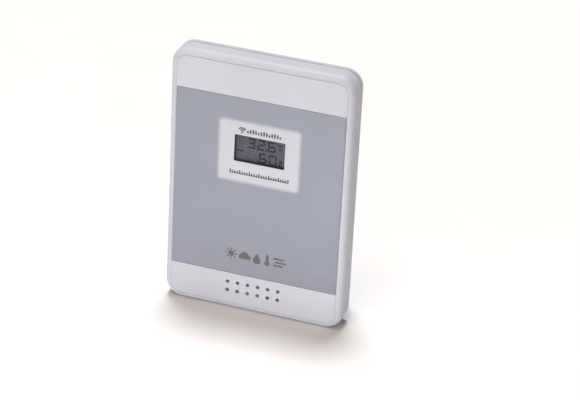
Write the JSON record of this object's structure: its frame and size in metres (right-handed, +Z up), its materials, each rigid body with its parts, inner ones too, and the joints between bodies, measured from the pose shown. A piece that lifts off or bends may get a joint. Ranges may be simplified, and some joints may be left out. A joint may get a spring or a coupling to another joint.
{
  "type": "wireless outdoor temperature and humidity sensor",
  "caption": "Slim rounded-rectangle remote weather sensor with a small display, vents, battery bay with door, fold-out stand and hanging keyhole.",
  "frame": {"origin": "centre of the case footprint, on the flat bottom edge it stands on", "axes": "+Z up along the case height, -Y out of the front face with the display, +X to the right seen from the front"},
  "size_m": [0.065, 0.02, 0.095],
  "materials": {
    "front_white": "fine satin",
    "label_silver": "silver-grey print with a fine grain",
    "window_clear": "clear",
    "lcd_grey": "dark grey, satin gloss",
    "holder_white": "satin",
    "strip_silicone": "matte",
    "rear_white": "fine satin",
    "door_white": "fine satin",
    "stand_white": "fine satin",
    "board_green": "solder mask",
    "blob_black": "matte epoxy",
    "tinned_steel": "tinned",
    "capacitor_sleeve": "shrink sleeve",
    "radio_green": "solder mask",
    "antenna_copper": "lacquered copper",
    "sensor_white": "satin",
    "bead_black": "epoxy",
    "button_grey": "satin",
    "knob_black": "satin",
    "battery_jacket": "foil jacket",
    "nickel_steel": "nickel plated",
    "screw_steel": "zinc plated"
  },
  "bodies": {
    "case": {"front_shell": "front_white", "face_label": "label_silver", "display_window": "window_clear", "lcd_glass": "lcd_grey", "lcd_holder": "holder_white", "contact_strip_lower": "strip_silicone", "contact_strip_upper": "strip_silicone", "rear_shell": "rear_white", "main_board": "board_green", "processor_blob": "blob_black", "clock_crystal": "tinned_steel", "supply_capacitor": "capacitor_sleeve", "radio_module": "radio_green", "radio_resonator": "tinned_steel", "antenna_coil": "antenna_copper", "humidity_sensor": "sensor_white", "thermistor": "bead_black", "send_switch": "tinned_steel", "unit_switch": "tinned_steel", "channel_switch": "tinned_steel", "battery_1": "battery_jacket", "battery_2": "battery_jacket", "battery_spring_1": "nickel_steel", "battery_spring_2": "nickel_steel", "minus_terminal": "nickel_steel", "plus_terminal": "nickel_steel", "bridge_contact": "nickel_steel", "case_screw_1": "screw_steel", "case_screw_2": "screw_steel", "case_screw_3": "screw_steel", "case_screw_4": "screw_steel", "board_screw_1": "screw_steel", "board_screw_2": "screw_steel", "board_screw_3": "screw_steel"},
    "stand": {"stand_leg": "stand_white"},
    "battery_door": {"battery_door": "door_white"},
    "send_button": {"send_button": "button_grey"},
    "unit_button": {"unit_button": "button_grey"},
    "channel_knob": {"channel_knob": "knob_black"}
  },
  "joints": [
    {"name": "stand_hinge", "type": "hinge", "parent": "case", "child": "stand", "pos_m": [0, 0.0079, 0.036], "axis": [1, 0, 0], "range_deg": [0, 27]},
    {"name": "door_lift", "type": "slide", "parent": "case", "child": "battery_door", "axis": [0, 1, 0], "range_m": [0, 0.03]},
    {"name": "send_press", "type": "slide", "parent": "case", "child": "send_button", "axis": [0, -1, 0], "range_m": [0, 0.0004], "stiffness_N_per_m": 800},
    {"name": "unit_press", "type": "slide", "parent": "case", "child": "unit_button", "axis": [0, -1, 0], "range_m": [0, 0.0004], "stiffness_N_per_m": 800},
    {"name": "channel_slide", "type": "slide", "parent": "case", "child": "channel_knob", "axis": [1, 0, 0], "range_m": [-0.002, 0.002]}
  ]
}
